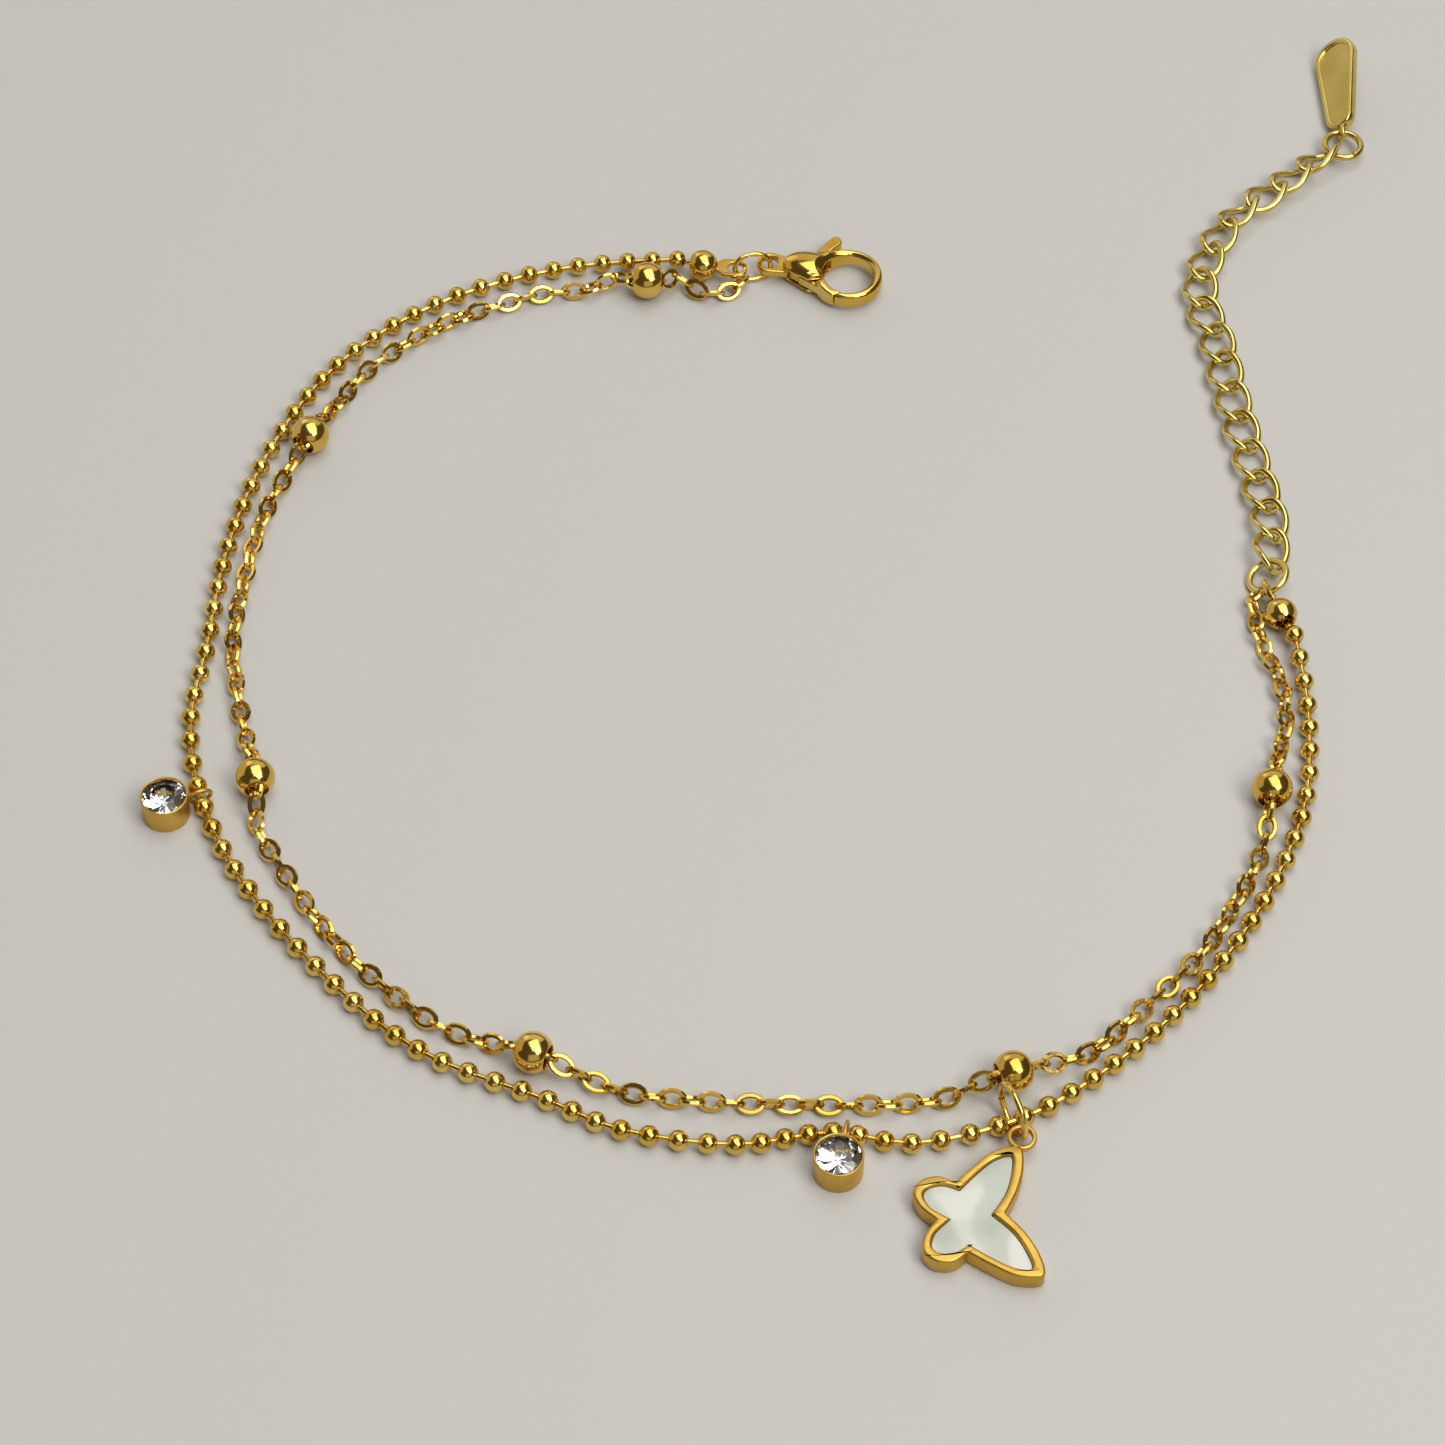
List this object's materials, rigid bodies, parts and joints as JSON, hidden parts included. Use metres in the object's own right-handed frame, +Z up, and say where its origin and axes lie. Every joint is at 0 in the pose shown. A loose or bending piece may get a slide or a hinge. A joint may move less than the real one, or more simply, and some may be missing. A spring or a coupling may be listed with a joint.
{
  "type": "charm anklet",
  "caption": "Open two-strand anklet lying flat: ball strand and beaded cable chain from a lobster clasp to a curb extender with a tag, with crystal and butterfly charms.",
  "frame": {"origin": "under the middle of the anklet's box, on the table it lies on", "axes": "+Z up, +Y from the butterfly side to the tag's end, +X from the clasp side to the extender side"},
  "size_m": [0.0966, 0.121, 0.0043],
  "materials": {
    "gold": "polished yellow gold plating",
    "pale_gold": "polished pale gold plating",
    "satin_gold": "satin gold plating with polished edges",
    "crystal": "clear cut stone",
    "pearl": "pale shell with a soft sheen"
  },
  "bodies": {
    "anklet": {"ball_chain": "gold", "cable_chain": "gold", "station_bead_1": "gold", "station_bead_2": "gold", "station_bead_3": "gold", "station_bead_4": "gold", "station_bead_5": "gold", "station_bead_6": "gold", "ball_end_cup_1": "gold", "ball_end_cup_2": "gold", "clasp_ring": "gold", "clasp_body": "gold", "butterfly_ring": "gold", "extender_ring": "pale_gold", "extender_link_01": "pale_gold", "extender_link_02": "pale_gold", "extender_link_03": "pale_gold", "extender_link_04": "pale_gold", "extender_link_05": "pale_gold", "extender_link_06": "pale_gold", "extender_link_07": "pale_gold", "extender_link_08": "pale_gold", "extender_link_09": "pale_gold", "extender_link_10": "pale_gold", "extender_link_11": "pale_gold", "extender_link_12": "pale_gold", "extender_link_13": "pale_gold", "extender_link_14": "pale_gold", "extender_link_15": "pale_gold", "extender_link_16": "pale_gold", "tag_ring": "pale_gold", "tag": "pale_gold", "crystal_cup_1": "satin_gold", "crystal_cup_2": "satin_gold", "butterfly_frame": "satin_gold", "crystal_1": "crystal", "crystal_2": "crystal", "butterfly_inlay": "pearl"},
    "lever": {"clasp_lever": "gold"}
  },
  "joints": [
    {"name": "lever_pivot", "type": "hinge", "parent": "anklet", "child": "lever", "pos_m": [0.00101, 0.03396, 0.00105], "axis": [0, 0, 1], "range_deg": [0, 22], "stiffness_Nm_per_rad": 0.002}
  ]
}
